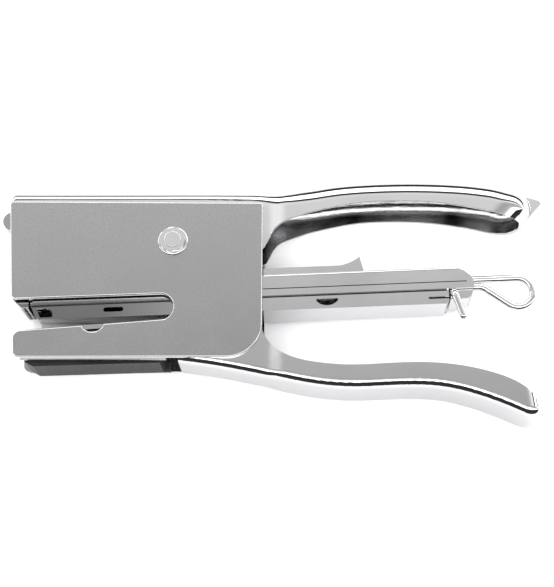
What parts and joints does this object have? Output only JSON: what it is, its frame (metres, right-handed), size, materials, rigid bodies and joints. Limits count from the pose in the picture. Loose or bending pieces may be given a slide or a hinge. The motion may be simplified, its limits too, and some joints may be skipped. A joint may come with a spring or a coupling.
{
  "type": "plier stapler",
  "caption": "Hand-held plier stapler on its side: sheet steel jaws and squeeze handles, swinging magazine, driver blade and a pull-out feed rod with a wire loop.",
  "frame": {"origin": "centre of the bounding box in X and Y, at the lowest point of the pivot bolt's head in Z", "axes": "+X from the jaws to the handles, +Y from the moving handle to the fixed handle, +Z the normal of the side plates, out of the side with the nut"},
  "size_m": [0.1812, 0.0824, 0.0232],
  "materials": {
    "plate_steel": "satin plated sheet",
    "polished_steel": "mirror polished nickel plate",
    "magazine_steel": "bright plated sheet",
    "hardware_steel": "bright turned steel",
    "inner_steel": "plain sheet",
    "spring_wire": "drawn wire",
    "rod_steel": "polished wire",
    "black_plastic": "moulded, fine grain",
    "grey_plastic": "moulded"
  },
  "bodies": {
    "frame": {"left_side_plate": "plate_steel", "right_side_plate": "plate_steel", "upper_handle": "polished_steel", "anvil_bridge": "inner_steel", "anvil_plate": "inner_steel", "anvil_rivets": "hardware_steel", "jaw_base_pad": "black_plastic", "pivot_bolt": "hardware_steel", "pivot_washer": "hardware_steel", "pivot_nut": "hardware_steel", "pivot_sleeve": "hardware_steel", "return_spring": "spring_wire", "arm_stop_pin": "hardware_steel"},
    "lever": {"lower_handle": "polished_steel", "drive_arm": "inner_steel", "arm_pin": "hardware_steel"},
    "magazine": {"magazine_housing": "magazine_steel", "magazine_track": "magazine_steel", "nose_block": "magazine_steel", "sheet_catch": "magazine_steel", "catch_rivets": "magazine_steel", "clamp_spring": "spring_wire"},
    "driver": {"driver_blade": "inner_steel"},
    "rod": {"feed_rod": "rod_steel", "rod_end_plug": "magazine_steel", "feed_spring": "spring_wire"},
    "pusher": {"follower": "grey_plastic"}
  },
  "joints": [
    {"name": "lever_swing", "type": "hinge", "parent": "frame", "child": "lever", "pos_m": [-0.03227, 0.01815, 0.01105], "axis": [0, 0, 1], "range_deg": [0, 10.4], "stiffness_Nm_per_rad": 0.8, "springref_deg": -14.32, "deforming": ["return_spring", "clamp_spring"]},
    {"name": "magazine_swing", "type": "hinge", "parent": "frame", "child": "magazine", "pos_m": [-0.03227, 0.01815, 0.01105], "axis": [0, 0, 1], "range_deg": [0, 4.1], "deforming": ["clamp_spring"]},
    {"name": "driver_slide", "type": "slide", "parent": "magazine", "child": "driver", "axis": [0.0384, -0.9993, 0], "range_m": [0, 0.00566]},
    {"name": "feed_rod_pull", "type": "slide", "parent": "magazine", "child": "rod", "axis": [0.9993, 0.0384, 0], "range_m": [0, 0.15]},
    {"name": "follower_slide", "type": "slide", "parent": "rod", "child": "pusher", "axis": [0.9993, 0.0384, 0], "range_m": [0, 0.06], "stiffness_N_per_m": 25, "springref_m": -0.04, "deforming": ["feed_spring"]}
  ],
  "couplings": [
    {"joint": "magazine_swing", "follows": "lever_swing", "ratio": 0.39423},
    {"joint": "driver_slide", "follows": "lever_swing", "m_per_rad": 0.030962}
  ]
}
